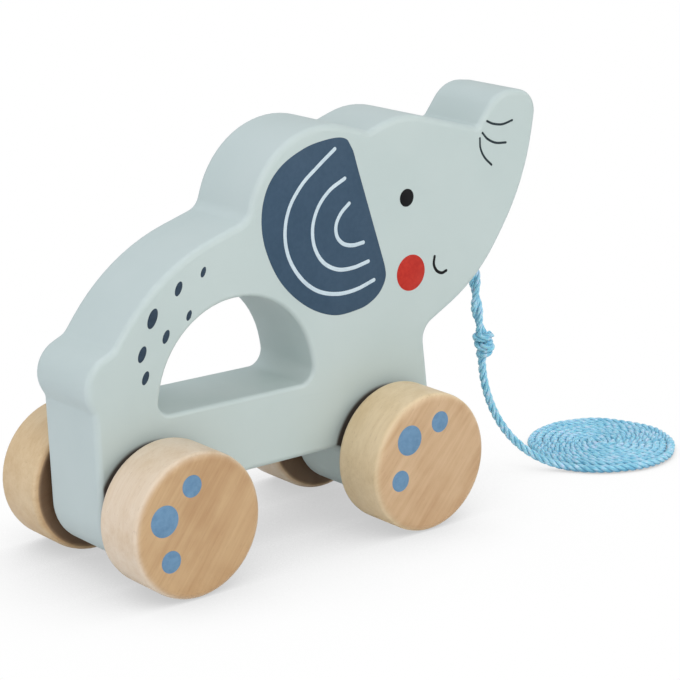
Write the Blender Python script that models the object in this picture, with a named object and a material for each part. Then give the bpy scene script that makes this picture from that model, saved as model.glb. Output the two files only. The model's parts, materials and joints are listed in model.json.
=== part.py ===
"""A wooden pull-along elephant: one thick painted slab on two dowel axles and four wheels, led by a cord.

Metres, +Z up. +X points to the head and +Y to the elephant's left. The origin is on the floor, under the
middle of the slab's thickness and half-way along the toy with its cord laid out on the floor.

Side-view sizes below are in millimetres: x forward of the rear axle, z above the floor.
"""

import math

import bmesh
import bpy
from mathutils import Euler, Vector

MM = 0.001
PLAY = 0.3  # clearance between neighbouring pieces

# Wheels and axles
WHEELBASE = 100.5
WHEEL_RADIUS = 25.0
WHEEL_WIDTH = 22.5
WHEEL_EDGE = 2.7  # rounding of a wheel's two rims
AXLE_RADIUS = 4.0
AXLE_GRIP = 14.0  # how far an axle reaches into each wheel
AXLE_CHAMFER = 0.8
SIDE_GAP = 3.1  # between the slab and each wheel, filled by a washer
WASHER_RADIUS = 7.0
WASHER_CHAMFER = 0.4

# Slab
SLAB_THICKNESS = 31.0
RIM_ROUND = 2.4  # round-over along the slab's rim
OPENING_ROUND = 1.6  # round-over along the hand opening
ROUND_STEPS = 6
CHORD_ERROR = 0.04  # how far a straight facet may stray from its arc

# The slab's silhouette is a belt pulled round these circles: x, z, radius.
# A positive radius is a bulge of wood, and a negative one is a hollow that the belt bends into.
SILHOUETTE = {
    "rear_foot": (-3.5, 24, 17.5),
    "belly_rear": (28, 22.5, -6),
    "belly_front": (76.5, 22.5, -6),
    "front_foot": (104, 25, 20),
    "throat": (126.5, 61, -7),
    "chin": (104, 126, 61),
    "trunk_front": (88.5, 144, 84),
    "trunk_tip": (164, 138, 8.5),
    "trunk_top": (159.5, 134, 13),
    "trunk_notch": (143, 138, -2.5),
    "forehead": (109, 112.5, 31),
    "ear_notch": (93, 143, -3),
    "ear_top": (73, 112, 32.5),
    "neck": (35.5, 121, -6),
    "back": (47, 43, 72),
    "tail_notch": (-18, 85.5, -5.5),
    "tail": (-14.5, 69, 11),
    "tail_root": (-26, 60, -3.5),
}

# The hand opening: a half-moon with a flat floor.
OPENING = {
    "rear_corner": (7.5, 60, 4.5),
    "front_corner": (62.5, 60.5, 5.5),
    "arch": (35.5, 58, 32.5),
}

# Cord
CORD_RADIUS = 1.4
LOOP_RADIUS = 1.75  # the doubled length above the knot
CORD_HOLE_RADIUS = 2.6
CORD_HOLE_DEPTH = 14.0
CORD_HOLE_ANGLE = -35.5  # degrees below the horizontal, on the trunk's front arc
LOOP_BENDS = (156, 0, 80), (158, 0, 65)  # what its curve leans towards
LOOP_END = (160.4, 0, 55.5)  # where the doubled length runs into the knot
KNOT_CENTRE = (162.7, 0, 48.5)
KNOT_RADII = (3.8, 3.8, 5.2)
KNOT_TILT = 14.0  # degrees, top leaning back
KNOT_FOOT = (162, 0, 41.4)  # where the single length starts
LEAD_BENDS = (162, -1, 27), (168.5, -6.5, 0)
COIL_CENTRE = (212.5, -14)
COIL_RADIUS = 29.0
COIL_THICKNESS = 2.8
COIL_LEAD_ANGLE = 217.0  # degrees round the coil where the cord runs on to its rim

# Facets round a full turn
WHEEL_FACETS = 64
COIL_FACETS = 48
AXLE_FACETS = 24
CORD_FACETS = 10

# Facets across a quarter round
WHEEL_EDGE_STEPS = 4
COIL_EDGE_STEPS = 2

# Lengths of straight tube along each curve of the cord
LOOP_STEPS = 10
LEAD_STEPS = 16

KNOT_SUBDIVISIONS = 3

TAIL_REACH = 25.5  # how far the tail stands behind the rear axle
REAR_AXLE_X = (TAIL_REACH - (COIL_CENTRE[0] + COIL_RADIUS)) / 2


def world(x, y, z):
    """A design point in millimetres as a place in metres."""
    return Vector((x + REAR_AXLE_X, y, z)) * MM


def clear_scene():
    for obj in list(bpy.data.objects):
        bpy.data.objects.remove(obj)


# Materials


def paint(name, colour, roughness, metallic=0.0):
    material = bpy.data.materials.new(name)
    material.use_nodes = True
    shader = material.node_tree.nodes["Principled BSDF"]
    shader.inputs["Base Color"].default_value = (*colour, 1.0)
    shader.inputs["Roughness"].default_value = roughness
    shader.inputs["Metallic"].default_value = metallic
    return material


# Objects


def pivot(name, place, parent=None):
    """An empty on a joint's axis. Its children are placed from it."""
    empty = bpy.data.objects.new(name, None)
    bpy.context.scene.collection.objects.link(empty)
    empty["place"] = place
    attach(empty, place, parent)
    return empty


def attach(obj, place, parent):
    """Puts obj at a place in the world, as a child of parent."""
    obj["place"] = place
    obj.parent = parent
    obj.location = place - Vector(parent["place"]) if parent else place


def solid(name, mesh, material, place, parent=None, turn=(0, 0, 0)):
    if not mesh.materials:
        mesh.materials.append(material)
    obj = bpy.data.objects.new(name, mesh)
    bpy.context.scene.collection.objects.link(obj)
    obj.rotation_euler = Euler(turn)
    attach(obj, place, parent)
    return obj


def mesh_from(bm, name):
    """The finished mesh of bm, facing out and shaded smooth but for its sharp edges."""
    bmesh.ops.recalc_face_normals(bm, faces=bm.faces)
    mesh = bpy.data.meshes.new(name)
    bm.to_mesh(mesh)
    bm.free()
    mesh.shade_smooth()
    mesh.set_sharp_from_angle(angle=math.radians(40))
    return mesh


def cut(target, cutter):
    """Takes cutter's shape out of target, and leaves cutter in the scene as a guide."""
    cutter.hide_render = True
    cutter.display_type = "WIRE"
    boolean = target.modifiers.new(cutter.name, "BOOLEAN")
    boolean.operation = "DIFFERENCE"
    boolean.object = cutter


# Round shapes


def quarter_arc(radius, steps):
    """(how far in, how far along) over a quarter round from a side wall up to a face."""
    angles = [math.pi / 2 * i / steps for i in range(steps + 1)]
    return [(radius * (1 - math.cos(a)), radius * math.sin(a)) for a in angles]


def turned(name, profile, facets, loop=False):
    """A profile of (radius, y) in millimetres spun about the Y axis. A loop joins its last point to its first."""
    bm = bmesh.new()
    verts = [bm.verts.new((radius * MM, y * MM, 0)) for radius, y in profile]
    edges = [bm.edges.new(pair) for pair in zip(verts, verts[1:])]
    if loop:
        edges.append(bm.edges.new((verts[-1], verts[0])))
    bmesh.ops.spin(
        bm, geom=verts + edges, cent=(0, 0, 0), axis=(0, 1, 0), angle=2 * math.pi, steps=facets
    )
    bmesh.ops.remove_doubles(bm, verts=bm.verts, dist=0.001 * MM)
    return mesh_from(bm, name)


def rod(name, radius, length, facets):
    """A plain cylinder along its own Z axis."""
    bm = bmesh.new()
    bmesh.ops.create_cone(
        bm,
        cap_ends=True,
        segments=facets,
        radius1=radius * MM,
        radius2=radius * MM,
        depth=length * MM,
    )
    return mesh_from(bm, name)


# The slab


def belt(circles, grow):
    """The closed loop of (x, z) that wraps round the circles counter-clockwise, each radius grown by grow.

    Every grow gives the same number of points, and each point moves straight out from the loop.
    """
    circles = list(circles)
    count = len(circles)
    normals = []
    for i in range(count):
        x1, z1, r1 = circles[i]
        x2, z2, r2 = circles[(i + 1) % count]
        span = math.hypot(x2 - x1, z2 - z1)
        lean = math.acos((r1 - r2) / span)
        normals.append(math.atan2(z2 - z1, x2 - x1) - lean)
    points = []
    for i, (x, z, radius) in enumerate(circles):
        start = normals[i - 1]
        sweep = (normals[i] - start) % (2 * math.pi)
        if radius < 0:
            sweep -= 2 * math.pi
        step = 2 * math.acos(1 - CHORD_ERROR / (abs(radius) + RIM_ROUND))
        steps = max(1, math.ceil(abs(sweep) / step))
        for k in range(steps + 1):
            angle = start + sweep * k / steps
            reach = radius + grow
            points.append((x + reach * math.cos(angle), z + reach * math.sin(angle)))
    return points


def slab_rims(round_over):
    """(y, inset) of each loop round an edge of the slab, from its right face over the rounding to its left."""
    wall = SLAB_THICKNESS / 2 - round_over
    left = [(wall + along, inset) for inset, along in quarter_arc(round_over, ROUND_STEPS)]
    right = [(-y, inset) for y, inset in reversed(left)]
    return right + left


def ring_of(bm, points, y):
    verts = [bm.verts.new(world(x, y, z)) for x, z in points]
    edges = [bm.edges.new((verts[i - 1], verts[i])) for i in range(len(verts))]
    return verts, edges


def join_rings(bm, one, other):
    for i in range(len(one)):
        bm.faces.new((one[i - 1], one[i], other[i], other[i - 1]))


def slab_mesh():
    bm = bmesh.new()
    outer = [ring_of(bm, belt(SILHOUETTE.values(), -inset), y) for y, inset in slab_rims(RIM_ROUND)]
    inner = [ring_of(bm, belt(OPENING.values(), inset), y) for y, inset in slab_rims(OPENING_ROUND)]
    for rings in (outer, inner):
        for (one, _), (other, _) in zip(rings, rings[1:]):
            join_rings(bm, one, other)
    for end in (0, -1):
        bmesh.ops.triangle_fill(bm, use_beauty=True, edges=outer[end][1] + inner[end][1])
    return mesh_from(bm, "elephant_body")


def chin_point(height):
    """The place height above the trunk's front arc, where the cord's hole is, and the way out of the hole."""
    x, z, radius = SILHOUETTE["trunk_front"]
    angle = math.radians(CORD_HOLE_ANGLE)
    out = Vector((math.cos(angle), 0, math.sin(angle)))
    return world(x, 0, z) + out * (radius + height) * MM, out


def add_slab(material):
    slab = solid("elephant_body", slab_mesh(), material, Vector((0, 0, 0)))
    bore = rod("axle_bore", AXLE_RADIUS + PLAY, 2 * SLAB_THICKNESS, AXLE_FACETS)
    for end, x in (("rear", 0), ("front", WHEELBASE)):
        place = world(x, 0, WHEEL_RADIUS)
        cut(slab, solid(end + "_bore", bore, material, place, turn=(math.pi / 2, 0, 0)))
    mouth, out = chin_point(0)
    hole = rod("cord_hole", CORD_HOLE_RADIUS, 2 * CORD_HOLE_DEPTH, AXLE_FACETS)
    cut(slab, solid("chin_hole", hole, material, mouth, turn=out.to_track_quat("Z", "Y").to_euler()))


# Wheels, axles and washers


def wheel_mesh():
    """A turned wheel with its flat face at +Y and a blind hole for the axle in its other face."""
    half = WHEEL_WIDTH / 2
    hole = AXLE_RADIUS + PLAY
    rim = [
        (WHEEL_RADIUS - inset, half - WHEEL_EDGE + along)
        for inset, along in quarter_arc(WHEEL_EDGE, WHEEL_EDGE_STEPS)
    ]
    back_rim = [(radius, -y) for radius, y in reversed(rim)]
    hole_bottom = AXLE_GRIP + PLAY - half
    profile = [(0, hole_bottom), (hole, hole_bottom), (hole, -half), *back_rim, *rim, (0, half)]
    return turned("wheel", profile, WHEEL_FACETS)


def washer_mesh():
    half = SIDE_GAP / 2 - PLAY
    hole = AXLE_RADIUS + PLAY
    edge = WASHER_RADIUS - WASHER_CHAMFER
    side = half - WASHER_CHAMFER
    profile = [(hole, -half), (edge, -half), (WASHER_RADIUS, -side)]
    profile += [(radius, -y) for radius, y in reversed(profile)]
    return turned("washer", profile, AXLE_FACETS, loop=True)


def axle_mesh():
    slab_side = SLAB_THICKNESS / 2 + SIDE_GAP
    return rod("axle", AXLE_RADIUS, 2 * (slab_side + AXLE_GRIP), AXLE_FACETS)


def add_wheelset(end, x, meshes, materials):
    """One axle with a wheel and a washer on each side. The wheels are glued to the axle and turn with it."""
    centre = world(x, 0, WHEEL_RADIUS)
    spin = pivot(end + "_axle_spin", centre)
    axle = solid(end + "_axle", meshes["axle"], materials["axle"], centre, spin, (math.pi / 2, 0, 0))
    chamfer = axle.modifiers.new("chamfer", "BEVEL")
    chamfer.width = AXLE_CHAMFER * MM
    chamfer.limit_method = "ANGLE"
    washer_y = (SLAB_THICKNESS + SIDE_GAP) / 2
    wheel_y = SLAB_THICKNESS / 2 + SIDE_GAP + WHEEL_WIDTH / 2
    for side, sign in (("left", 1), ("right", -1)):
        turn = (0, 0, 0 if sign > 0 else math.pi)
        along = Vector((0, sign * MM, 0))
        name = f"{end}_{side}_"
        solid(name + "washer", meshes["washer"], materials["washer"], centre + along * washer_y, spin)
        solid(name + "wheel", meshes["wheel"], materials["wheel"], centre + along * wheel_y, spin, turn)


# The cord


def bezier(controls, t):
    """The point at t on a cubic curve through the first and last of four control points."""
    weights = ((1 - t) ** 3, 3 * t * (1 - t) ** 2, 3 * t**2 * (1 - t), t**3)
    return sum((weight * point for weight, point in zip(weights, controls)), Vector((0, 0, 0)))


def cord_mesh(name, controls, radius, steps):
    """A length of cord along a cubic curve, with ball ends, built from its own start point."""
    radius = radius * MM
    start = controls[0]
    centres = [bezier(controls, i / steps) - start for i in range(steps + 1)]
    ends = (centres[1] - centres[0]).normalized(), (centres[-1] - centres[-2]).normalized()
    cap = [(math.cos(a), math.sin(a)) for a in (math.pi / 6, math.pi / 3)]
    sections = [(centres[0] - ends[0] * radius * c, radius * s) for c, s in cap]
    sections += [(centre, radius) for centre in centres]
    sections += [(centres[-1] + ends[1] * radius * c, radius * s) for c, s in reversed(cap)]
    bm = bmesh.new()
    rings = []
    for i, (centre, size) in enumerate(sections):
        before = sections[max(i - 1, 0)][0]
        after = sections[min(i + 1, len(sections) - 1)][0]
        along = (after - before).normalized()
        across = along.cross(Vector((0, 1, 0))).normalized()
        other = along.cross(across)
        angles = [2 * math.pi * k / CORD_FACETS for k in range(CORD_FACETS)]
        rings.append(
            [bm.verts.new(centre + size * (across * math.cos(a) + other * math.sin(a))) for a in angles]
        )
    for one, other in zip(rings, rings[1:]):
        join_rings(bm, one, other)
    tips = centres[0] - ends[0] * radius, centres[-1] + ends[1] * radius
    for ring, tip in zip((rings[0], rings[-1]), tips):
        point = bm.verts.new(tip)
        for i in range(CORD_FACETS):
            bm.faces.new((ring[i - 1], ring[i], point))
    return mesh_from(bm, name)


def knot_mesh():
    bm = bmesh.new()
    bmesh.ops.create_icosphere(bm, subdivisions=KNOT_SUBDIVISIONS, radius=MM)
    bmesh.ops.scale(bm, vec=KNOT_RADII, verts=bm.verts)
    return mesh_from(bm, "cord_knot")


def coil_mesh():
    """The rest of the cord, wound flat on the floor: a disc one cord thick with a round rim."""
    half = COIL_THICKNESS / 2
    rim = [(COIL_RADIUS - inset, along) for inset, along in quarter_arc(half, COIL_EDGE_STEPS)]
    under = [(radius, -y) for radius, y in reversed(rim[1:])]
    profile = [(0, -half), *under, *rim, (0, half)]
    return turned("cord_coil", profile, COIL_FACETS)


def coil_lead():
    """Where the cord's free length ends, just outside the coil's rim and just above the floor."""
    angle = math.radians(COIL_LEAD_ANGLE)
    reach = COIL_RADIUS + PLAY + CORD_RADIUS
    x, y = COIL_CENTRE
    return world(x + reach * math.cos(angle), y + reach * math.sin(angle), CORD_RADIUS + PLAY)


def add_cord(material):
    """The cord as links that swing on one another: its end in the chin, a doubled length, a knot, a single
    length and the coil. Each link starts on the joint that it swings on."""
    mouth, out = chin_point(0)
    anchor = rod("cord_anchor", CORD_HOLE_RADIUS - PLAY, CORD_HOLE_DEPTH - PLAY, CORD_FACETS)
    middle = mouth - out * (CORD_HOLE_DEPTH - PLAY) / 2 * MM
    solid("cord_anchor", anchor, material, middle, turn=out.to_track_quat("Z", "Y").to_euler())

    chin, _ = chin_point(LOOP_RADIUS + PLAY)
    swing = pivot("cord_swing", chin)
    loop_end = world(*LOOP_END)
    upper = chin, *(world(*bend) for bend in LOOP_BENDS), loop_end
    loop_mesh = cord_mesh("cord_upper", upper, LOOP_RADIUS, LOOP_STEPS)
    solid("cord_upper", loop_mesh, material, chin, swing)

    sway = pivot("cord_sway", loop_end, swing)
    knot = world(*KNOT_CENTRE)
    solid("cord_knot", knot_mesh(), material, knot, sway, (0, math.radians(-KNOT_TILT), 0))

    knot_foot = world(*KNOT_FOOT)
    bend_pivot = pivot("cord_bend", knot_foot, sway)
    lead = coil_lead()
    lower = knot_foot, *(world(*bend) for bend in LEAD_BENDS), lead
    lead_mesh = cord_mesh("cord_lower", lower, CORD_RADIUS, LEAD_STEPS)
    solid("cord_lower", lead_mesh, material, knot_foot, bend_pivot)

    lift = pivot("cord_lift", lead, bend_pivot)
    centre = world(*COIL_CENTRE, COIL_THICKNESS / 2)
    solid("cord_coil", coil_mesh(), material, centre, lift, (math.pi / 2, 0, 0))


def build():
    clear_scene()
    slab_paint = paint("slab_paint", (0.50, 0.59, 0.58), 0.42)
    maple = paint("maple", (0.72, 0.50, 0.28), 0.5)
    birch = paint("birch", (0.66, 0.49, 0.31), 0.6)
    cord = paint("cord", (0.20, 0.52, 0.70), 0.85)
    add_slab(slab_paint)
    meshes = {"wheel": wheel_mesh(), "washer": washer_mesh(), "axle": axle_mesh()}
    materials = {"wheel": maple, "washer": birch, "axle": birch}
    add_wheelset("rear", 0, meshes, materials)
    add_wheelset("front", WHEELBASE, meshes, materials)
    add_cord(cord)


build()
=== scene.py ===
"""The finished look of a wooden pull-along elephant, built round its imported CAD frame.

Metres, +Z up, in the frame's own coordinates. Places on the toy's side view are in millimetres:
x forward of the rear axle and z above the floor. +Y is the elephant's left.
"""

import json
import math

import bmesh
import bpy
from mathutils import Matrix, Vector, noise


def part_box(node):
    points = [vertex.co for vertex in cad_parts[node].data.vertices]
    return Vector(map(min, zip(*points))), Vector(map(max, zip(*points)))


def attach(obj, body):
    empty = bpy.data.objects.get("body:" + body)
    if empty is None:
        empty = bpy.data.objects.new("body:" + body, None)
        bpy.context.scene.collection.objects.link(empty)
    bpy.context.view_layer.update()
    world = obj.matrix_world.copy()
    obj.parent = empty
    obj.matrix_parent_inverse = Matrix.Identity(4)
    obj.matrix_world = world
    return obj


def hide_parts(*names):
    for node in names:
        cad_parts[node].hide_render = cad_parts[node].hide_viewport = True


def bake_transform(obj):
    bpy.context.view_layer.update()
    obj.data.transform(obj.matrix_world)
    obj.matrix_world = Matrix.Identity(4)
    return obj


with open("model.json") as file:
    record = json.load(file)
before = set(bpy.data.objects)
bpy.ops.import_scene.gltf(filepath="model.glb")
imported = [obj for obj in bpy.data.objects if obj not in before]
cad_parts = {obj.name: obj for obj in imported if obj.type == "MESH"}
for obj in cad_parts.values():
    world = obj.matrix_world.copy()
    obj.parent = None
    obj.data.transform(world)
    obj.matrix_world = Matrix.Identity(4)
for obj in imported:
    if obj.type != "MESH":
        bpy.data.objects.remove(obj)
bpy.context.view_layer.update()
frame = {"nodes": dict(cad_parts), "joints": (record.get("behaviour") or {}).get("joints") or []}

MM = 0.001
SIDES = {"right": -1, "left": 1}
ENDS = ("rear", "front")

# Places from the frame
JOINTS = {joint["name"]: Vector(joint["pos_m"]) for joint in frame["joints"]}
REAR_AXLE = JOINTS["rear_axle_spin"]
SLAB_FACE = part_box("elephant_body")[1].y
COIL_LOW, COIL_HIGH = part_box("cord_coil")
COIL_CENTRE = (COIL_LOW + COIL_HIGH) / 2
WHEEL_RADIUS = REAR_AXLE.z

# Ink, in millimetres
INK_HEIGHT = 0.05  # how proud of the surface a print stands
INK_SINK = 0.05  # how far its underside lies below the surface
INK_EDGE = 0.05  # width of its soft edge
DISC_FACETS = 48
CAP_STEPS = 8  # facets round a pen line's end

# Points round the ear, whose outline runs smoothly through them: down its straight front, then round
EAR = (
    (85.5, 134.4),
    (87.8, 127.5),
    (91.4, 117),
    (95.1, 106.2),
    (98.8, 95.4),
    (100.3, 90.6),
    (100.5, 86.9),
    (98.3, 82.7),
    (94.3, 79.6),
    (88.5, 77.7),
    (77, 77.4),
    (64.8, 82.7),
    (54, 92.6),
    (47.5, 105),
    (45.8, 116.2),
    (48.3, 126),
    (54.5, 133),
    (64, 137.6),
    (72.5, 139.3),
    (79.5, 139.5),
    (83.3, 138),
)
EAR_FOLD_WIDTH = 1.38
# Curved lines on it, from the outer to the inner
EAR_FOLDS = (
    (
        (77.4, 135.8),
        (70, 130.7),
        (63, 125.3),
        (57.6, 118),
        (55.7, 109.5),
        (57.4, 100.7),
        (62.8, 92.6),
        (70, 87.2),
        (78.5, 84.8),
        (87, 85),
        (95.1, 87.1),
    ),
    (
        (81.8, 125),
        (75.2, 121.8),
        (70.2, 116.7),
        (67.7, 110),
        (68.5, 102.9),
        (72.3, 97),
        (78.6, 93.5),
        (85.6, 93),
        (92.5, 94.2),
    ),
    ((83.8, 116), (80.1, 113), (78, 109.2), (78.4, 105.2), (81.2, 102.2), (85.5, 101), (90.2, 101.3)),
)
# Discs: x, z, radius
EYE = (110.1, 114.3, 3.2)
CHEEK = (112.3, 86.9, 6.55)
SMILE_WIDTH = 1.1
SMILE = ((123.5, 91.1), (123.2, 88.2), (124.6, 85.7), (127, 84.5), (129.2, 85))
TRUNK_LINE_WIDTH = 0.85
TRUNK_LINES = (
    ((148, 137), (151, 135.7), (155.5, 135), (160.3, 135.9)),
    ((145.8, 133), (148.5, 130.4), (152.5, 128.6), (157.4, 128.1)),
    ((144.6, 131.2), (145, 127.5), (147, 124), (150.5, 120.8)),
)
# Slim oval spots on the rump: x, z, half length
RUMP_SPOTS = (
    (21.5, 101.7, 1.85),
    (11.4, 97.7, 2.55),
    (0.8, 89.4, 3.5),
    (15.4, 88, 1.85),
    (6, 82.4, 2.4),
    (-3.6, 78.1, 2.85),
    (-2.5, 69.9, 2.4),
)
SPOT_SLIMNESS = 0.5  # width over length
SPOT_LEAN = 24.0  # degrees, tops towards the head

# Wheel prints: three dots on an arc, a big one between two small ones, in millimetres and degrees
WHEEL_DOT_REACH = 15.0  # from the hub
WHEEL_DOT_SPREAD = 58.0
WHEEL_DOT_RADII = (3.8, 5.4, 3.8)
WHEEL_DOT_TURN = {"rear_right": 160.0, "front_right": 135.0, "rear_left": 52.0, "front_left": 205.0}

# Colours, as 8-bit screen values. Pairs are the two tones that a material varies between.
PAINT = ((186, 200, 198), (190, 203, 201))
PAINT_WEAR_AND_HIGHLIGHT = (201, 213, 211)
# Paler rim colour: partly worn paint, partly a painted highlight on the rounded edge
PAINT_SPECK = (172, 188, 186)
WHEEL_SHADE = (66, 48, 38)
TIMBER = {
    "pink": ((226, 209, 186), (209, 184, 152)),
    "straw": ((218, 194, 155), (200, 170, 127)),
    "sand": ((236, 213, 175), (216, 189, 145)),
    "honey": ((200, 166, 123), (175, 135, 92)),
    "biscuit": ((207, 175, 137), (183, 145, 105)),
    "birch": ((214, 190, 155), (188, 158, 120)),
}
# Painted shade on the wheels' inner faces, towards the slab
TIMBER_INNER_SHADE = (78, 54, 40)
TIMBER_FLECK = (150, 112, 74)
INKS = {
    "navy": ((62, 84, 105), (56, 78, 98)),
    "dusk": ((54, 70, 86), (44, 58, 72)),
    "pale": ((206, 221, 229), (192, 209, 219)),
    "black": ((16, 16, 18), (10, 10, 12)),
    "red": ((194, 54, 42), (175, 42, 33)),
    "slate": ((48, 60, 64), (36, 46, 50)),
    "blue": ((112, 149, 180), (95, 131, 163)),
}
WHEEL_INK = "blue"  # it lies on wood, the others on paint
YARN = ((150, 216, 237), (172, 226, 246))
# Painted shade in the grooves between fibres
YARN_GROOVE_SHADE = (104, 184, 216)  # between fibres
# Painted highlights on the fibres, in patches
YARN_HIGHLIGHT = (206, 226, 250)
YARN_DEEP = (92, 172, 212)
YARN_FUZZ = (216, 238, 250)
# Painted shade where the cord lies close to the floor
YARN_FLOOR_SHADE = (60, 136, 176)
# Painted shade on each ply's inward side
YARN_PLY_SHADE = (76, 158, 196)  # between plies
FLOOR = ((224, 225, 226), (228, 229, 230))

SHARP_ANGLE = 30.0  # degrees between faces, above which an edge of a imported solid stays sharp

# Paint
EDGE_RADIUS = 2.4 * MM  # the slab's rounded edge
# Where the shade behind a wheel starts to fade and where it ends, inside the wheel's rim
WHEEL_SHADE_INSET = (2.9 * MM, 1.3 * MM)

# Wood: growth rings round a pith outside the blank
RING_WIDTH = 4.2 * MM
RING_SWAY = 11 * MM
RING_LEAN = 0.16  # how far the rings lean along the grain
PITH_ASIDE = 30 * MM
PITH_BELOW = 21 * MM
PITH_STEP = 4 * MM  # how much farther below each next blank it is
BLANK_STEP = (0.13, 0.29, 0.17)  # how far apart in the noise two blanks are cut
# Each wheel's blank: turn of its grain in degrees, and the timber tones of its tread and face
# Their tread tones are paler than their face tones: partly the wood, partly a painted sheen on the tread
WHEEL_BLANKS = {
    "rear_right": (54.0, "pink", "honey"),
    "front_right": (50.0, "sand", "biscuit"),
    "rear_left": (20.0, "straw", "honey"),
    "front_left": (75.0, "pink", "biscuit"),
}
# The wheels' blanks are numbers 0 to 3
FIRST_WASHER_BLANK = 5
FIRST_AXLE_BLANK = 9

# Cord: plies laid round one another, in millimetres
PLIES = 3
PLY_SIDES = 8
LAY = 9.5  # length of one full twist
CORD_PLY = (0.76, 0.83)  # how far a ply's middle is from the cord's, and its radius
CORD_RADIUS = sum(CORD_PLY)
LOOP_PLY = (0.58, 0.66)  # the same in the doubled length, which is pulled tight
LOOP_STRAND_OFFSET = 1.05  # how far each strand of the doubled length stands from its middle
LOOP_TWIST = 24.0  # length over which the two strands turn once round one another
LOOP_TWIST_START = 0.06  # how far round they stand in the chin, in turns
STATION = 0.5  # distance between rings of points along the cord
YARN_FIBRES = 5.0  # fibres round a ply
YARN_SLANT = 0.75  # fibres that go by in a millimetre along it

# How the cord runs, on the side view: x, y, z
CHIN_MOUTH = (156.87, 0, 95.24)
CHIN_HOLE_ANGLE = -35.5  # the hole's way out, in degrees from forward
CHIN_HOLE_DEPTHS = (7.0, 5, 3, 1.5, 0)  # places down the hole that the cord runs through
LOOP_BENDS = ((156, 0, 80), (158, 0, 65))
LOOP_END_RISE = 0.5  # where the doubled length ends, above the knot's centre
LEAD_START_RISE = 1.5  # where the single length starts, above the knot's centre
LEAD_BENDS = ((162, -1, 27), (168.5, -6.5, 0))
KNOT_CENTRE = (162.7, 0, 48.5)
KNOT_TILT = -14.0  # degrees, top towards the toy
KNOT_WAY_IN = ((0.2, 0, -1.5), (-0.9, 0.9, -2.9))  # from the knot's centre
KNOT_START_ANGLE = 150.0  # degrees
KNOT_WRAPS = 2.4
KNOT_WRAP_RADIUS = 2.35
KNOT_HALF_HEIGHT = 2.9
KNOT_PINCH = 0.16  # how much narrower the first and last wraps are, as a share
KNOT_WAVER = 0.1  # how much the wraps' radius varies, as a share
KNOT_WAVER_SWING = 7.3  # how far that variation runs over the wraps, in radians
KNOT_SKEW = 1.25  # how far the wraps lean
KNOT_SKEW_SWING = 3.4  # how far the lean turns over the wraps, in radians
KNOT_STEPS = 40  # points along the wraps
KNOT_CUT_END = 1.6  # length of the cut end
KNOT_CUT_END_BEND = Vector((0.3, 0, 0.8))  # how far its tip turns forward and up
COIL_OUTER = 28.4  # radius of the outermost turn's middle
COIL_PITCH = 2.83
COIL_INNER = 1.7
COIL_SETTLE = 0.11  # share of a turn over which the lead settles into the coil
COIL_REST = CORD_RADIUS + 0.12  # height of a turn's middle above the floor
COIL_RISE = 0.75  # how far a turn may rise above that
COIL_RISE_PACE = 2.7  # how fast its height changes along it
COIL_DRIFT = 0.8  # how far neighbouring turns drift together
COIL_DRIFT_PACE = 0.09  # how fast that changes over the coil
COIL_WAVER = 0.3  # how far a turn wavers on its own
COIL_WAVER_PACE = 8.3  # how fast that changes along it
COIL_CALM = 8.0  # the radius inside which the turns stray less and less
COIL_STEPS = 90  # points on the way round a turn

# Floor shadow
SHADOW_REACH = 0.08  # metres above the floor within which something casts it
SHADOW_DEPTH = 0.55  # how white the floor still is where the object covers all of the sky
FLOOR_HALF = 4.0  # half the floor's side, in metres

# Light
WARM = (1.0, 0.985, 0.955)
LIT_PLACE = (0, 0, 0.07)
# Softboxes: place, size, power, colour
SOFTBOXES = {
    "key": ((-0.5, -1.0, 0.84), 0.9, 5.0, WARM),
    "top": ((-0.2, 0.3, 1.3), 1.2, 4.8, (0.85, 0.885, 1.0)),
    "fill": ((0.7, -1.1, 0.64), 0.9, 4.7, WARM),
    "rim": ((-1.3, 0.0, 0.08), 0.8, 3.35, (0.92, 0.89, 1.0)),
    "under": ((0, 0, -0.9), 1.4, 3.0, (1, 1, 1)),
}
SKY_COLOUR = (0.97, 0.99, 1, 1)
SKY_STRENGTH = 0.57
HORIZON = 0.02  # the sky fades out over directions whose z is from minus this to this
WHITE = (1, 1, 1, 1)
BLACK = (0, 0, 0, 1)

# Camera
CAMERA_TARGET = Vector((-0.0154, 0, 0.06233))
CAMERA_AZIMUTH = -39.6
CAMERA_ELEVATION = 15.8
CAMERA_DISTANCE = 0.8455
CAMERA_LENS = 125.6


def drawn(x, y, z):
    """A place on the side view, in millimetres, as a place in metres."""
    return Vector((REAR_AXLE.x + x * MM, y * MM, z * MM))


# Materials


def linear(colour):
    """An 8-bit screen colour as the scene-linear RGBA that shaders take."""
    channels = [c / 255 for c in colour]
    return (*[c / 12.92 if c <= 0.04045 else ((c + 0.055) / 1.055) ** 2.4 for c in channels], 1.0)


class Nodes:
    """Short calls that add shader nodes to a node tree."""

    def __init__(self, tree):
        self.tree = tree

    def node(self, kind, inputs, output=0, **settings):
        made = self.tree.nodes.new("ShaderNode" + kind)
        for key, value in settings.items():
            setattr(made, key, value)
        for key, value in inputs.items():
            self.feed(made.inputs[key], value)
        return made.outputs[output]

    def feed(self, socket, value):
        if isinstance(value, bpy.types.NodeSocket):
            self.tree.links.new(value, socket)
        else:
            socket.default_value = value

    def either(self, choice, one, other):
        """One shader where choice is 0, and the other where it is 1."""
        return self.node("MixShader", {0: choice, 1: one, 2: other})


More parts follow.
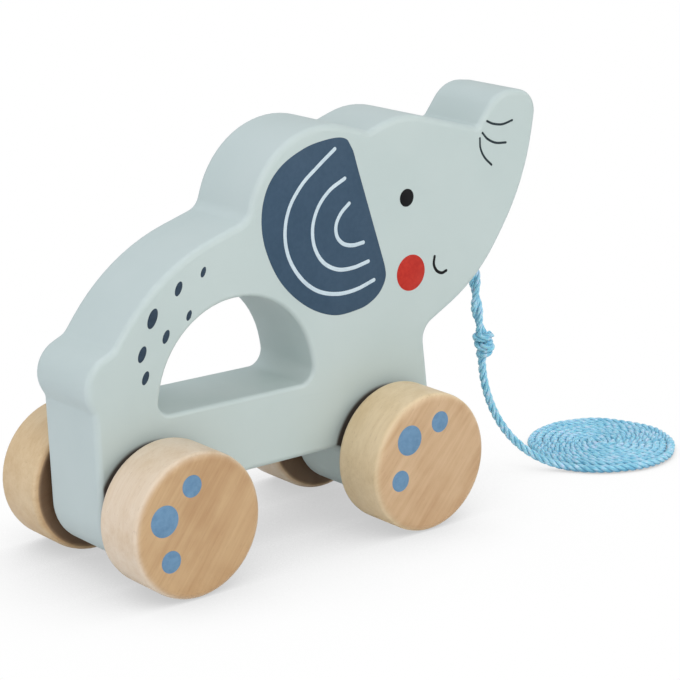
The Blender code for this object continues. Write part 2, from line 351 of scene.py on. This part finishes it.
class Finish(Nodes):
    """A material, with short calls for the patterns and sums that feed its surface shader."""

    def __init__(self, name):
        self.material = bpy.data.materials.new(name)
        self.material.use_nodes = True
        super().__init__(self.material.node_tree)
        self.surface = self.tree.nodes["Principled BSDF"]

    def set(self, **inputs):
        """Feeds the surface shader. An underscore in a name stands for a space."""
        for key, value in inputs.items():
            self.feed(self.surface.inputs[key.replace("_", " ")], value)

    def place(self):
        return self.node("TexCoord", {}, output="Object")

    def scaled(self, vector, scale):
        return self.node("VectorMath", {0: vector, 1: scale}, operation="MULTIPLY")

    def axes(self, vector):
        return [self.node("SeparateXYZ", {0: vector}, output=i) for i in range(3)]

    def calc(self, operation, *values):
        return self.node("Math", dict(enumerate(values)), operation=operation)

    def length(self, one, other):
        """The length of a flat vector."""
        squares = [self.calc("POWER", value, 2.0) for value in (one, other)]
        return self.calc("SQRT", self.calc("ADD", *squares))

    def ramp(self, value, start, end, low=0.0, high=1.0):
        """low before start, high after end, and an S-curve between them."""
        sockets = {"Value": value, "From Min": start, "From Max": end, "To Min": low, "To Max": high}
        return self.node("MapRange", sockets, interpolation_type="SMOOTHSTEP")

    def noise(self, vector, scale, detail=2.0, roughness=0.5):
        sockets = {"Vector": vector, "Scale": scale, "Detail": detail, "Roughness": roughness}
        return self.node("TexNoise", sockets)

    def mix(self, share, one, other):
        return self.node("Mix", {0: share, 6: one, 7: other}, output=2, data_type="RGBA")

    def bump(self, height, depth, under=None):
        """Relief of the given depth in millimetres, on top of the relief under it."""
        sockets = {"Height": height, "Distance": depth * MM}
        if under is not None:
            sockets["Normal"] = under
        return self.node("Bump", sockets, output="Normal")


def slab_paint():
    """Satin paint on a sanded board: faint long grain, a fine roller texture, paler rims (partly thinner
    paint, partly a painted highlight) and painted shade behind the wheels.
    """
    f = Finish("slab_paint_finish")
    place = f.place()
    ahead, aside, above = f.axes(place)
    depth = f.calc("ABSOLUTE", aside)
    cloud = f.ramp(f.noise(place, 24, 3), 0.32, 0.68)
    colour = f.mix(cloud, *map(linear, PAINT))

    # Paler along the rounded edge, but not on the flat face: partly thinner paint, partly a painted
    # highlight
    outer = f.ramp(depth, SLAB_FACE - EDGE_RADIUS, SLAB_FACE - EDGE_RADIUS / 2)
    inner = f.ramp(depth, SLAB_FACE - 0.7 * MM, SLAB_FACE - 0.05 * MM, 1.0, 0.0)
    wear_and_highlight = f.ramp(f.noise(place, 150, 4, 0.6), 0.35, 0.75, 0.35, 1.0)
    rim = f.calc("MULTIPLY", f.calc("MULTIPLY", outer, inner), wear_and_highlight)
    colour = f.mix(f.calc("MULTIPLY", rim, 0.15), colour, linear(PAINT_WEAR_AND_HIGHLIGHT))

    grain = f.noise(f.scaled(place, (9, 230, 230)), 1, 4, 0.6)
    speck = f.ramp(f.noise(f.scaled(place, (60, 900, 900)), 1, 2), 0.62, 0.78)
    colour = f.mix(f.calc("MULTIPLY", speck, 0.10), colour, linear(PAINT_SPECK))

    # Painted shade: dark where a wheel stands close to the face
    on_face = f.ramp(depth, SLAB_FACE - 0.4 * MM, SLAB_FACE - 0.05 * MM)
    fade_start, fade_end = (WHEEL_RADIUS - inset for inset in WHEEL_SHADE_INSET)
    for end in ENDS:
        hub = JOINTS[end + "_axle_spin"]
        reach = f.length(f.calc("SUBTRACT", ahead, hub.x), f.calc("SUBTRACT", above, hub.z))
        shade = f.calc("MULTIPLY", f.ramp(reach, fade_start, fade_end, 0.92, 0.0), on_face)
        colour = f.mix(shade, colour, linear(WHEEL_SHADE))

    skin = f.noise(place, 850, 2, 0.5)
    relief = f.bump(skin, 0.012, f.bump(grain, 0.05))
    shine = f.ramp(f.noise(place, 60, 3), 0.3, 0.7, 0.40, 0.52)
    f.set(Base_Color=colour, Roughness=shine, Normal=relief, Coat_Weight=0.06, Coat_Roughness=0.25)
    return f.material


def wood(name, centre, turn, blank, tread, face=None, inner_face=None):
    """Clear-lacquered pale hardwood round centre, its grain turned in the wheel's plane.

    blank is the number of the piece of timber it is cut from, and tread and face are names of tones.
    For a wheel, inner_face is where that face lies along y from centre. It is darkened with painted shade.
    """
    f = Finish(name)
    spun = {"Vector": f.place(), "Center": centre, "Angle": math.radians(turn)}
    spun = f.node("VectorRotate", spun, rotation_type="Y_AXIS")
    place = f.node("VectorMath", {0: spun, 1: centre}, operation="SUBTRACT")
    shift = [blank * step for step in BLANK_STEP]
    shifted = f.node("VectorMath", {0: place, 1: shift}, operation="ADD")
    along, across, up = f.axes(place)

    # Growth rings
    sway = f.noise(f.scaled(shifted, (9, 26, 26)), 1, 2)
    sway = f.calc("MULTIPLY", f.calc("SUBTRACT", sway, 0.5), RING_SWAY)
    lean = f.calc("MULTIPLY", along, RING_LEAN)
    from_pith = f.length(
        f.calc("ADD", f.calc("ADD", across, PITH_ASIDE), lean),
        f.calc("ADD", up, PITH_BELOW + PITH_STEP * blank),
    )
    rings = f.calc("MULTIPLY", f.calc("ADD", from_pith, sway), 2 * math.pi / RING_WIDTH)
    rings = f.ramp(f.calc("SINE", rings), -0.2, 1.0)
    late = f.ramp(f.noise(f.scaled(shifted, (8, 60, 60)), 1, 2), 0.5, 0.7)
    rings = f.calc("MULTIPLY", rings, f.calc("ADD", 0.35, late))

    # How dark it is
    fibres = f.noise(f.scaled(shifted, (45, 900, 900)), 1, 3, 0.6)
    streaks = f.noise(f.scaled(shifted, (14, 190, 190)), 1, 3, 0.55)
    patches = f.ramp(f.noise(shifted, 55, 3), 0.35, 0.7, 0.0, 0.45)
    dark = f.calc("ADD", f.calc("MULTIPLY", rings, 0.16), f.ramp(streaks, 0.35, 0.72, 0.0, 0.28))
    dark = f.calc("ADD", f.calc("ADD", dark, patches), f.ramp(fibres, 0.35, 0.7, 0.0, 0.26))
    # The tread tone is paler than the face tone: partly the wood, partly a painted sheen
    colour = f.mix(dark, *map(linear, TIMBER[tread]))
    if inner_face is not None:
        half_width = abs(inner_face)
        face_colour = f.mix(dark, *map(linear, TIMBER[face]))
        on_face = f.ramp(f.calc("ABSOLUTE", across), half_width - 1.7 * MM, half_width + 0.1 * MM)
        colour = f.mix(on_face, colour, face_colour)
        # Painted shade on the inner face, which looks towards the slab
        inward = f.calc("MULTIPLY", across, math.copysign(1, inner_face))
        inner_shade = f.ramp(inward, half_width - 0.5 * MM, half_width - 0.02 * MM, 0.0, 0.8)
        colour = f.mix(inner_shade, colour, linear(TIMBER_INNER_SHADE))
    flecks = f.ramp(f.noise(f.scaled(shifted, (300, 2300, 2300)), 1, 1), 0.64, 0.76)
    colour = f.mix(f.calc("MULTIPLY", flecks, 0.22), colour, linear(TIMBER_FLECK))

    relief = f.bump(fibres, 0.02, f.bump(streaks, 0.03))
    shine = f.ramp(streaks, 0.3, 0.7, 0.40, 0.52)
    f.set(Base_Color=colour, Roughness=shine, Normal=relief, Coat_Weight=0.10, Coat_Roughness=0.30)
    return f.material


def ink(name, on_wood):
    """Pad-printed ink: fine mottling, and on wood the grain shows through."""
    f = Finish(name + "_ink")
    place = f.place()
    fine = f.noise(place, 620, 3, 0.6)
    broad = f.noise(place, 75, 2)
    tone = f.calc("ADD", f.ramp(fine, 0.3, 0.7, 0.0, 0.6), f.ramp(broad, 0.3, 0.7, 0.0, 0.4))
    if on_wood:
        fibres = f.noise(f.scaled(place, (500, 60, 500)), 1, 3)
        tone = f.calc("ADD", f.calc("MULTIPLY", tone, 0.6), f.ramp(fibres, 0.35, 0.7, 0.0, 0.4))
    colour = f.mix(tone, *map(linear, INKS[name]))
    shine = f.ramp(broad, 0.3, 0.7, 0.42, 0.54)
    f.set(Base_Color=colour, Roughness=shine, Normal=f.bump(fine, 0.01), Specular_IOR_Level=0.15)
    return f.material


def cord_yarn():
    """Twisted yarn: fibres that run askew along each ply, soft sheen, slightly uneven dye, painted
    highlights, and painted shade between fibres, between plies and near the floor.
    """
    f = Finish("cord_yarn_finish")
    around, along, _ = f.axes(f.node("UVMap", {}, uv_map="strand"))
    place = f.place()
    turn = f.calc("ADD", f.calc("MULTIPLY", around, YARN_FIBRES), f.calc("MULTIPLY", along, YARN_SLANT))
    wobble = f.calc("MULTIPLY", f.noise(place, 900, 2), 0.5)
    fibres = f.calc("SINE", f.calc("MULTIPLY", f.calc("ADD", turn, wobble), 2 * math.pi))
    fibres = f.ramp(fibres, -1.0, 1.0)
    fuzz = f.noise(place, 2600, 3, 0.65)
    dye = f.noise(place, 130, 2)
    highlight_and_dye = f.noise(place, 420, 2)
    colour = f.mix(f.ramp(dye, 0.3, 0.7), *map(linear, YARN))
    # Painted shade in the grooves between fibres
    colour = f.mix(f.ramp(fibres, 0.0, 1.0, 0.35, 0.0), colour, linear(YARN_GROOVE_SHADE))
    # Painted highlights in patches; the same noise gives darker dye where it is low
    colour = f.mix(f.ramp(highlight_and_dye, 0.5, 0.7, 0.0, 0.7), colour, linear(YARN_HIGHLIGHT))
    colour = f.mix(f.ramp(highlight_and_dye, 0.3, 0.48, 0.5, 0.0), colour, linear(YARN_DEEP))
    colour = f.mix(f.ramp(fuzz, 0.55, 0.8, 0.0, 0.4), colour, linear(YARN_FUZZ))
    # Painted shade, darker where the cord lies close to the floor
    low = f.ramp(f.axes(place)[2], 0.4 * MM, 2.5 * MM, 0.65, 0.0)
    colour = f.mix(low, colour, linear(YARN_FLOOR_SHADE))
    # Painted shade on the inward side of each ply, where it lies against the others
    outward = f.calc("COSINE", f.calc("MULTIPLY", around, 2 * math.pi))
    colour = f.mix(f.ramp(outward, -0.4, 0.5, 0.6, 0.0), colour, linear(YARN_PLY_SHADE))
    relief = f.bump(fuzz, 0.03, f.bump(fibres, 0.07))
    f.set(Base_Color=colour, Roughness=0.82, Normal=relief, Sheen_Weight=0.25, Sheen_Roughness=0.45)
    f.set(Subsurface_Weight=0.08, Subsurface_Scale=0.6 * MM)
    return f.material


# Meshes


def shaded(bm, name, sharp=35.0):
    """The finished mesh of bm, facing out, smooth but for edges sharper than the angle."""
    bmesh.ops.recalc_face_normals(bm, faces=bm.faces)
    mesh = bpy.data.meshes.new(name)
    bm.to_mesh(mesh)
    bm.free()
    mesh.shade_smooth()
    mesh.set_sharp_from_angle(angle=math.radians(sharp))
    return mesh


def piece(name, mesh, material):
    mesh.materials.append(material)
    obj = bpy.data.objects.new(name, mesh)
    bpy.context.scene.collection.objects.link(obj)
    return obj


def smooth_line(points, steps=10):
    """Points along a smooth curve through all the given ones."""
    before = 2 * points[0] - points[1]
    after = 2 * points[-1] - points[-2]
    chain = [before, *points, after]
    line = []
    for a, b, c, d in zip(chain, chain[1:], chain[2:], chain[3:]):
        for i in range(steps):
            t = i / steps
            bend = (c - a) * t + (2 * a - 5 * b + 4 * c - d) * t**2 + (3 * b - a - 3 * c + d) * t**3
            line.append(b + bend / 2)
    return [*line, points[-1]]


# Outlines of prints, in millimetres


def disc(x, z, radius, slimness=1.0, lean=0.0):
    """A circle, or an oval that stands on end and leans forward by so many degrees."""
    turn = Matrix.Rotation(-math.radians(lean), 2)
    angles = [2 * math.pi * i / DISC_FACETS for i in range(DISC_FACETS)]
    rim = [Vector((slimness * math.cos(a), math.sin(a))) * radius for a in angles]
    return [Vector((x, z)) + turn @ point for point in rim]


def blob(points):
    """A smooth closed outline, counter-clockwise, through points given clockwise."""
    ring = [Vector(point) for point in points]
    line = smooth_line([ring[-1], *ring, ring[0], ring[1]])
    steps = (len(line) - 1) // (len(ring) + 2)
    return line[steps : -2 * steps][::-1]


def stroke(points, width):
    """The outline of a pen line with round ends along a smooth curve through the points."""
    line = smooth_line([Vector(point) for point in points])
    sides = []
    for i, point in enumerate(line):
        along = (line[min(i + 1, len(line) - 1)] - line[max(i - 1, 0)]).normalized()
        sides.append((point, along, Vector((along.y, -along.x))))
    outline = [point + across * width / 2 for point, _, across in sides]
    outline += half_round(*sides[-1], width / 2)
    outline += [point - across * width / 2 for point, _, across in reversed(sides)]
    point, along, across = sides[0]
    outline += half_round(point, -along, -across, width / 2)
    return outline


def half_round(point, along, across, radius):
    """The round end of a line, from its across side, over its tip, short of its other side."""
    angles = [math.pi * i / CAP_STEPS for i in range(1, CAP_STEPS)]
    return [point + (across * math.cos(a) + along * math.sin(a)) * radius for a in angles]


def shrunk(outline, inset):
    """A counter-clockwise outline moved in."""
    moved = []
    for i, point in enumerate(outline):
        along = (outline[(i + 1) % len(outline)] - outline[i - 1]).normalized()
        moved.append(point + Vector((-along.y, along.x)) * inset)
    return moved


def print_mesh(name, outlines, spot, lift=0.0):
    """Closed films of ink. spot(x, z, height) is a place on and above the printed surface."""
    bm = bmesh.new()
    levels = ((0.0, lift - INK_SINK), (0.0, lift + INK_HEIGHT / 2), (INK_EDGE, lift + INK_HEIGHT))
    for outline in outlines:
        rings = []
        for inset, height in levels:
            edge = shrunk(outline, inset) if inset else outline
            rings.append([bm.verts.new(spot(p.x, p.y, height)) for p in edge])
        for low, high in zip(rings, rings[1:]):
            for i in range(len(low)):
                bm.faces.new((low[i - 1], low[i], high[i], high[i - 1]))
        bm.faces.new(rings[0])
        bm.faces.new(rings[-1])
    return shaded(bm, name)


def print_face(side, inks):
    """Everything printed on one side of the slab."""
    sign = SIDES[side]

    def spot(x, z, height):
        point = drawn(x, 0, z)
        point.y = sign * (SLAB_FACE + height * MM)
        return point

    prints = {
        "ear": ([blob(EAR)], "navy", 0.0),
        "ear_folds": ([stroke(fold, EAR_FOLD_WIDTH) for fold in EAR_FOLDS], "pale", INK_HEIGHT),
        "rump_spots": ([disc(*oval, SPOT_SLIMNESS, SPOT_LEAN) for oval in RUMP_SPOTS], "dusk", 0.0),
        "eye": ([disc(*EYE)], "black", 0.0),
        "cheek": ([disc(*CHEEK)], "red", 0.0),
        "smile": ([stroke(SMILE, SMILE_WIDTH)], "black", 0.0),
        "trunk_lines": ([stroke(line, TRUNK_LINE_WIDTH) for line in TRUNK_LINES], "slate", 0.0),
    }
    for name, (outlines, colour, lift) in prints.items():
        mesh = print_mesh(name, outlines, spot, lift)
        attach(piece(f"{side}_{name}", mesh, inks[colour]), "elephant")


def print_wheel(end, side, material):
    """Three dots near the rim of a wheel's outer face."""
    node = f"{end}_{side}_wheel"
    low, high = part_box(node)
    hub = (low + high) / 2
    sign = SIDES[side]
    face = high.y if sign > 0 else low.y

    def spot(x, z, height):
        return Vector((hub.x + x * MM, face + sign * height * MM, hub.z + z * MM))

    dots = []
    for i, radius in enumerate(WHEEL_DOT_RADII):
        angle = math.radians(WHEEL_DOT_TURN[f"{end}_{side}"] + (i - 1) * WHEEL_DOT_SPREAD)
        dots.append(disc(WHEEL_DOT_REACH * math.cos(angle), WHEEL_DOT_REACH * math.sin(angle), radius))
    mesh = print_mesh(node + "_dots", dots, spot)
    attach(piece(node + "_dots", mesh, material), end + "_wheelset")


# The frame's own solids


def smooth_frame_node(obj):
    """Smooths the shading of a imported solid, whose facets share no vertices, but not its mesh."""
    group = bpy.data.node_groups.new("smooth_" + obj.name, "GeometryNodeTree")
    group.interface.new_socket("Geometry", in_out="INPUT", socket_type="NodeSocketGeometry")
    group.interface.new_socket("Geometry", in_out="OUTPUT", socket_type="NodeSocketGeometry")
    start = group.nodes.new("NodeGroupInput")
    end = group.nodes.new("NodeGroupOutput")
    merge = group.nodes.new("GeometryNodeMergeByDistance")
    merge.inputs["Distance"].default_value = 0.001 * MM
    angle = group.nodes.new("GeometryNodeInputMeshEdgeAngle")
    limit = group.nodes.new("FunctionNodeCompare")
    limit.operation = "GREATER_THAN"
    limit.inputs[1].default_value = math.radians(SHARP_ANGLE)
    normals = group.nodes.new("GeometryNodeSetMeshNormal")
    normals.mode = "SHARPNESS"
    link = group.links.new
    link(start.outputs[0], merge.inputs["Geometry"])
    link(merge.outputs["Geometry"], normals.inputs["Mesh"])
    link(angle.outputs["Unsigned Angle"], limit.inputs[0])
    link(limit.outputs[0], normals.inputs["Edge Sharpness"])
    link(normals.outputs["Mesh"], end.inputs[0])
    smooth = obj.modifiers.new("smooth", "NODES")
    smooth.node_group = group
    weighted = obj.modifiers.new("weighted", "WEIGHTED_NORMAL")
    weighted.keep_sharp = True


def finish_node(name, material):
    obj = frame["nodes"][name]
    smooth_frame_node(obj)
    obj.material_slots[0].material = material


def finish_wood():
    """Paint on the slab, lacquer on the wheels, and bare birch on the axles and washers."""
    finish_node("elephant_body", slab_paint())
    for blank, (name, (turn, tread, face)) in enumerate(WHEEL_BLANKS.items()):
        low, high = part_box(name + "_wheel")
        centre = (low + high) / 2
        inner_face = math.copysign((high.y - low.y) / 2, -centre.y)
        material = wood(name + "_maple", centre, turn, blank, tread, face, inner_face)
        finish_node(name + "_wheel", material)
        low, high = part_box(name + "_washer")
        blank += FIRST_WASHER_BLANK
        material = wood(name + "_birch", (low + high) / 2, turn + 90, blank, "birch")
        finish_node(name + "_washer", material)
    for blank, end in enumerate(ENDS, FIRST_AXLE_BLANK):
        material = wood(end + "_axle_birch", JOINTS[end + "_axle_spin"], 0.0, blank, "birch")
        finish_node(end + "_axle", material)


# Cord


def bezier(controls, steps):
    """Points along a cubic curve through the first and last of four control points."""
    line = []
    for i in range(steps + 1):
        t = i / steps
        weights = ((1 - t) ** 3, 3 * t * (1 - t) ** 2, 3 * t**2 * (1 - t), t**3)
        line.append(sum((w * p for w, p in zip(weights, controls)), Vector((0, 0, 0))))
    return line


def stations(line):
    """Evenly spaced (distance, centre, normal, binormal) along a line of points, without twisting.

    Distances are in millimetres from the line's start.
    """
    lengths = [0.0]
    for a, b in zip(line, line[1:]):
        lengths.append(lengths[-1] + (b - a).length)
    count = max(2, round(lengths[-1] / (STATION * MM)))
    centres = []
    i = 0
    for k in range(count + 1):
        want = lengths[-1] * k / count
        while i < len(line) - 2 and lengths[i + 1] < want:
            i += 1
        share = (want - lengths[i]) / (lengths[i + 1] - lengths[i])
        centres.append(line[i].lerp(line[i + 1], share))
    normal = None
    made = []
    for k, centre in enumerate(centres):
        tangent = (centres[min(k + 1, count)] - centres[max(k - 1, 0)]).normalized()
        if normal is None:
            normal = tangent.orthogonal()
        normal = (normal - tangent * normal.dot(tangent)).normalized()
        distance = lengths[-1] * k / count / MM
        made.append((distance, centre, normal, tangent.cross(normal)))
    return made


def add_rope(bm, track, ply):
    """Plies laid round a track of stations, each a closed tube.

    Its strand UV counts turns round the ply and millimetres along it.
    """
    ply_offset, ply_radius = ply
    layer = bm.loops.layers.uv["strand"]
    slant = math.hypot(1, 2 * math.pi * ply_offset / LAY)
    for number in range(PLIES):
        rings = []
        for distance, centre, normal, binormal in track:
            phase = 2 * math.pi * (number / PLIES + distance / LAY)
            out = normal * math.cos(phase) + binormal * math.sin(phase)
            side = binormal * math.cos(phase) - normal * math.sin(phase)
            middle = centre + out * ply_offset * MM
            ring = []
            for k in range(PLY_SIDES):
                angle = 2 * math.pi * k / PLY_SIDES
                spoke = out * math.cos(angle) + side * math.sin(angle) * slant
                ring.append(bm.verts.new(middle + spoke * ply_radius * MM))
            rings.append(ring)
        for (one, other), (here, there) in zip(zip(rings, rings[1:]), zip(track, track[1:])):
            for k in range(PLY_SIDES):
                n = (k + 1) % PLY_SIDES
                face = bm.faces.new((one[k], one[n], other[n], other[k]))
                corners = ((k, here), (k + 1, here), (k + 1, there), (k, there))
                for loop, (turn, spot) in zip(face.loops, corners):
                    loop[layer].uv = (turn / PLY_SIDES, spot[0])
        bm.faces.new(rings[0])
        bm.faces.new(rings[-1])


def cord_piece(name, tracks, ply, material, *nodes):
    """One object of rope along the tracks, standing for the CAD nodes."""
    bm = bmesh.new()
    bm.loops.layers.uv.new("strand")
    for track in tracks:
        add_rope(bm, track, ply)
    obj = piece(name, shaded(bm, name, 60.0), material)
    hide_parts(*nodes)
    return obj


def bend_at(obj):
    """Bakes a piece's place into its mesh."""
    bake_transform(obj)


def strand_tracks(line):
    """Tracks of the two strands that twist round one line."""
    tracks = []
    core = stations(line)
    for share in (0, 0.5):
        strand = []
        for distance, centre, normal, binormal in core:
            phase = 2 * math.pi * (share + LOOP_TWIST_START + distance / LOOP_TWIST)
            out = normal * math.cos(phase) + binormal * math.sin(phase)
            strand.append(centre + out * LOOP_STRAND_OFFSET * MM)
        tracks.append(stations(strand))
    return tracks


def in_knot(rise):
    """A place so many millimetres above the knot's centre."""
    return drawn(*KNOT_CENTRE) + Vector((0, 0, rise * MM))


def add_chin_cord(material):
    """The doubled length, from inside the chin to inside the knot, in two pieces."""
    chin = JOINTS["cord_swing"]
    sway = JOINTS["cord_sway"]
    angle = math.radians(CHIN_HOLE_ANGLE)
    out = Vector((math.cos(angle), 0, math.sin(angle)))
    mouth = drawn(*CHIN_MOUTH)
    down_hole = [mouth - out * depth * MM for depth in CHIN_HOLE_DEPTHS]
    fall = bezier((chin, *(drawn(*bend) for bend in LOOP_BENDS), sway), 12)
    line = smooth_line([*down_hole, *fall[1:], in_knot(LOOP_END_RISE)], 8)
    tracks = strand_tracks(line)
    half = len(tracks[0]) // 2
    upper_tracks = [track[: half + 1] for track in tracks]
    lower_tracks = [track[half:] for track in tracks]
    upper = cord_piece("chin_cord_upper", upper_tracks, LOOP_PLY, material, "cord_upper", "cord_anchor")
    lower = cord_piece("chin_cord_lower", lower_tracks, LOOP_PLY, material, "cord_upper")
    bend_at(upper)
    bend_at(lower)


def knot_line():
    """The wraps of the knot: in at the core, up round it, and out at a short cut end."""
    points = [Vector(place) for place in KNOT_WAY_IN]
    for i in range(KNOT_STEPS + 1):
        share = i / KNOT_STEPS
        angle = math.radians(KNOT_START_ANGLE) + 2 * math.pi * KNOT_WRAPS * share
        pinch = KNOT_PINCH * abs(2 * share - 1) ** 3
        waver = KNOT_WAVER * math.sin(KNOT_WAVER_SWING * share + 1)
        reach = KNOT_WRAP_RADIUS * (1 - pinch + waver)
        skew = math.cos(angle - KNOT_SKEW_SWING * share)
        rise = KNOT_HALF_HEIGHT * (2 * share - 1) + KNOT_SKEW * skew
        points.append(Vector((reach * math.cos(angle), reach * math.sin(angle), rise)))
    last, before = points[-1], points[-4]
    points.append(last + (last - before).normalized() * KNOT_CUT_END + KNOT_CUT_END_BEND)
    tilt = Matrix.Rotation(math.radians(KNOT_TILT), 3, "Y")
    middle = drawn(*KNOT_CENTRE)
    return smooth_line([middle + tilt @ point * MM for point in points], 4)


def add_knot(material):
    knot = cord_piece("knot_cord", [stations(knot_line())], CORD_PLY, material, "cord_knot")
    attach(knot, "knot")


def spiral():
    """The flat coil, from where the lead runs on to its rim, counter-clockwise to its middle."""
    start = JOINTS["cord_lift"]
    middle = Vector((COIL_CENTRE.x, COIL_CENTRE.y, 0))
    first = math.atan2(start.y - middle.y, start.x - middle.x)
    landing = math.hypot(start.x - middle.x, start.y - middle.y) / MM
    turns = (COIL_OUTER - COIL_INNER) / COIL_PITCH
    steps = round(turns * COIL_STEPS)
    line = []
    for i in range(steps + 1):
        turn = turns * i / steps
        settle = math.exp(-turn / COIL_SETTLE)
        reach = COIL_OUTER - COIL_PITCH * turn + (landing - COIL_OUTER) * settle
        angle = first + 2 * math.pi * turn
        flat = Vector((math.cos(angle), math.sin(angle), 0))
        # Where in the noise each is sampled is arbitrary
        drift = noise.noise(flat * reach * COIL_DRIFT_PACE + Vector((3.1, 0.7, 0)))
        rise = noise.noise(Vector((turn * COIL_RISE_PACE, 5.2, 1.3)))
        waver = noise.noise(Vector((turn * COIL_WAVER_PACE, 1.9, 4.4)))
        stray = COIL_DRIFT * drift + COIL_WAVER * waver
        reach += stray * (1 - settle) * min(1, reach / COIL_CALM)
        height = COIL_REST + COIL_RISE * max(0.0, rise) + (start.z / MM - COIL_REST) * settle
        line.append(middle + flat * reach * MM + Vector((0, 0, height * MM)))
    return line


def add_lead_and_coil(material):
    """One length of cord from inside the knot to the middle of the coil, in three pieces."""
    foot = JOINTS["cord_bend"]
    landing = JOINTS["cord_lift"]
    lead = bezier((foot, *(drawn(*bend) for bend in LEAD_BENDS), landing), 40)
    track = stations(smooth_line([in_knot(LEAD_START_RISE), *lead], 6) + spiral()[1:])
    near = min(range(len(track)), key=lambda i: (track[i][1] - landing).length)
    half = near // 2
    upper = cord_piece("lead_cord_upper", [track[: half + 1]], CORD_PLY, material, "cord_lower")
    lower = cord_piece("lead_cord_lower", [track[half : near + 1]], CORD_PLY, material, "cord_lower")
    coil = cord_piece("coil_cord", [track[near:]], CORD_PLY, material, "cord_coil")
    bend_at(upper)
    bend_at(lower)
    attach(coil, "coil")


# Stage


def add_floor():
    """A white floor that carries soft shadows. It hides nothing that a pose takes below it."""
    bm = bmesh.new()
    bmesh.ops.create_grid(bm, x_segments=2, y_segments=2, size=FLOOR_HALF)
    mesh = shaded(bm, "floor")
    f = Finish("floor_paper")
    fibre = f.noise(f.place(), 900, 2)
    f.set(Base_Color=f.mix(fibre, *map(linear, FLOOR)), Roughness=0.9)

    # The camera sees through it, and sees what is close above it as a shadow
    seen = f.node("LightPath", {}, output="Is Camera Ray")
    shadow = f.node("LightPath", {}, output="Is Shadow Ray")
    open_sky = f.node("AmbientOcclusion", {"Distance": SHADOW_REACH}, output="AO", samples=8)
    shade = f.calc("SUBTRACT", 1.0, f.ramp(open_sky, 0.0, 0.95, SHADOW_DEPTH, 1.0))
    clear = f.node("BsdfTransparent", {"Color": f.mix(f.calc("MULTIPLY", seen, shade), WHITE, BLACK)})
    paper = f.either(f.calc("MAXIMUM", seen, shadow), f.surface.outputs[0], clear)
    f.feed(f.tree.nodes["Material Output"].inputs["Surface"], paper)
    mesh.materials.append(f.material)
    floor = bpy.data.objects.new("floor", mesh)
    bpy.context.scene.collection.objects.link(floor)


def add_softbox(name, place, size, power, colour):
    lamp = bpy.data.lights.new(name, "AREA")
    lamp.shape = "DISK"
    lamp.size = size
    lamp.energy = power
    lamp.color = colour
    obj = bpy.data.objects.new(name, lamp)
    obj.location = place
    obj.rotation_mode = "QUATERNION"
    obj.rotation_quaternion = (Vector(LIT_PLACE) - Vector(place)).to_track_quat("-Z", "Y")
    bpy.context.scene.collection.objects.link(obj)


def add_sky():
    """Even light from above the horizon only, which the camera sees as plain white."""
    world = bpy.data.worlds.new("studio")
    world.use_nodes = True
    f = Nodes(world.node_tree)
    way = f.node("TexCoord", {}, output="Generated")
    up = f.node("SeparateXYZ", {0: way}, output="Z")
    fade = {"Value": up, "From Min": -HORIZON, "From Max": HORIZON, "To Max": SKY_STRENGTH}
    lit = f.node("Background", {"Color": SKY_COLOUR, "Strength": f.node("MapRange", fade)})
    seen = f.node("LightPath", {}, output="Is Camera Ray")
    sky = f.either(seen, lit, f.node("Background", {"Color": WHITE}))
    f.feed(f.tree.nodes["World Output"].inputs["Surface"], sky)
    bpy.context.scene.world = world


def add_camera():
    azimuth = math.radians(CAMERA_AZIMUTH)
    elevation = math.radians(CAMERA_ELEVATION)
    flat = math.cos(elevation)
    back = Vector((math.sin(azimuth) * flat, -math.cos(azimuth) * flat, math.sin(elevation)))
    lens = bpy.data.cameras.new("camera")
    lens.lens = CAMERA_LENS
    lens.sensor_width = 36  # in millimetres, as the lens
    lens.clip_start = 0.05
    camera = bpy.data.objects.new("camera", lens)
    camera.location = CAMERA_TARGET + back * CAMERA_DISTANCE
    camera.rotation_mode = "QUATERNION"
    camera.rotation_quaternion = (-back).to_track_quat("-Z", "Y")
    bpy.context.scene.collection.objects.link(camera)
    bpy.context.scene.camera = camera


def build():
    bpy.context.scene.view_settings.view_transform = "Standard"
    finish_wood()
    inks = {name: ink(name, name == WHEEL_INK) for name in INKS}
    for side in SIDES:
        print_face(side, inks)
        for end in ENDS:
            print_wheel(end, side, inks[WHEEL_INK])
    yarn = cord_yarn()
    add_chin_cord(yarn)
    add_knot(yarn)
    add_lead_and_coil(yarn)
    add_floor()
    for name, softbox in SOFTBOXES.items():
        add_softbox(name, *softbox)
    add_sky()
    add_camera()


build()
